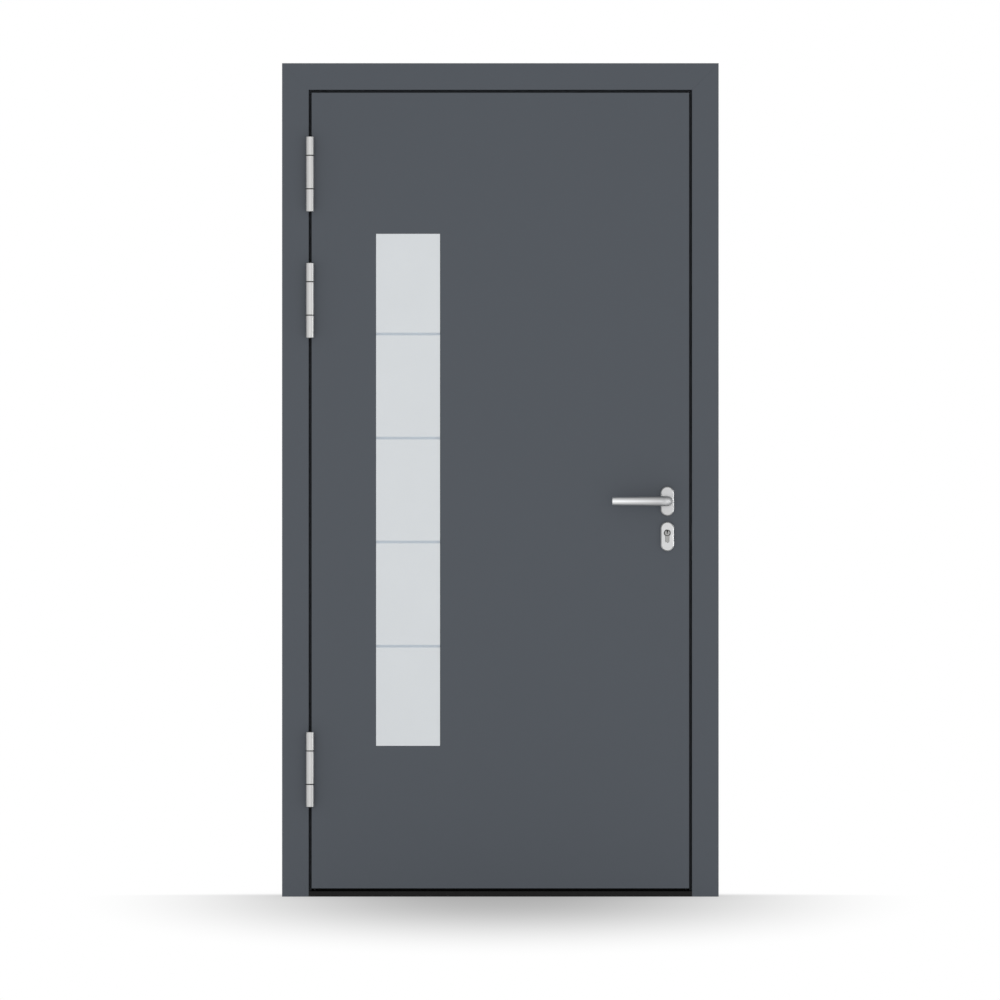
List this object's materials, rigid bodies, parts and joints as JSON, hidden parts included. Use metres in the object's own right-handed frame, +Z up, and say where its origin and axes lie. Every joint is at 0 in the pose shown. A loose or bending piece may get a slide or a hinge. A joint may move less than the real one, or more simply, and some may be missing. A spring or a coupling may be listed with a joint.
{
  "type": "aluminium front door",
  "caption": "Aluminium front door in its frame: flush dark grey leaf with a narrow satin glass strip, roller hinges, lever handles, euro lock cylinder and a low black threshold.",
  "frame": {"origin": "on the floor, under the threshold, in the middle of the door's width and of the frame's depth", "axes": "+X from the hinges to the lock, -Y out of the face in the picture, +Z up"},
  "size_m": [1.1, 0.1898, 2.1],
  "materials": {
    "frame_paint": "matte",
    "leaf_paint": "matte",
    "thermal_break": "matte",
    "threshold_black": "matte",
    "seal_rubber": "matte",
    "glazing_sealant": "matte",
    "satin_glass": "satin",
    "clear_glass": "gloss",
    "spacer_grey": "matte",
    "lining_plastic": "matte",
    "bush_black": "satin",
    "hinge_steel": "satin",
    "lock_steel": "satin",
    "cylinder_nickel": "satin",
    "lever_steel": "satin"
  },
  "bodies": {
    "frame": {"jamb_hinge": "frame_paint", "jamb_lock": "frame_paint", "head": "frame_paint", "jamb_hinge_break": "thermal_break", "jamb_lock_break": "thermal_break", "head_break": "thermal_break", "threshold": "threshold_black", "seal_hinge": "seal_rubber", "seal_lock": "seal_rubber", "seal_head": "seal_rubber", "seal_threshold": "seal_rubber", "strike_plate": "lock_steel", "hinge_top_jamb": "hinge_steel", "hinge_middle_jamb": "hinge_steel", "hinge_bottom_jamb": "hinge_steel", "hinge_pins": "hinge_steel", "hinge_bushes": "bush_black"},
    "leaf": {"leaf_stile_hinge": "leaf_paint", "leaf_stile_lock": "leaf_paint", "leaf_rail_top": "leaf_paint", "leaf_rail_bottom": "leaf_paint", "stile_hinge_break": "thermal_break", "stile_lock_break": "thermal_break", "rail_top_break": "thermal_break", "rail_bottom_break": "thermal_break", "leaf_skin_front": "leaf_paint", "leaf_skin_back": "leaf_paint", "glazing_lining": "lining_plastic", "glass_outer": "satin_glass", "glass_middle": "clear_glass", "glass_inner": "clear_glass", "spacer_outer": "spacer_grey", "spacer_inner": "spacer_grey", "glass_joint_front": "glazing_sealant", "glass_joint_back": "glazing_sealant", "hinge_top_leaf": "hinge_steel", "hinge_middle_leaf": "hinge_steel", "hinge_bottom_leaf": "hinge_steel", "lock_forend": "lock_steel", "latch_bolt": "lock_steel", "deadbolt": "lock_steel", "lock_cylinder": "cylinder_nickel", "rosette_front": "lever_steel", "rosette_back": "lever_steel", "escutcheon_front": "lever_steel", "escutcheon_back": "lever_steel"},
    "lever_set": {"lever_front": "lever_steel", "lever_back": "lever_steel", "spindle": "lock_steel"}
  },
  "joints": [
    {"name": "leaf_swing", "type": "hinge", "parent": "frame", "child": "leaf", "pos_m": [-0.47925, -0.0485, 0], "axis": [0, 0, -1], "range_deg": [0, 110]},
    {"name": "lever_turn", "type": "hinge", "parent": "leaf", "child": "lever_set", "pos_m": [0.4205, -0.0325, 0.9965], "axis": [0, -1, 0], "range_deg": [0, 45], "stiffness_Nm_per_rad": 1.5, "springref_deg": -28.65}
  ]
}
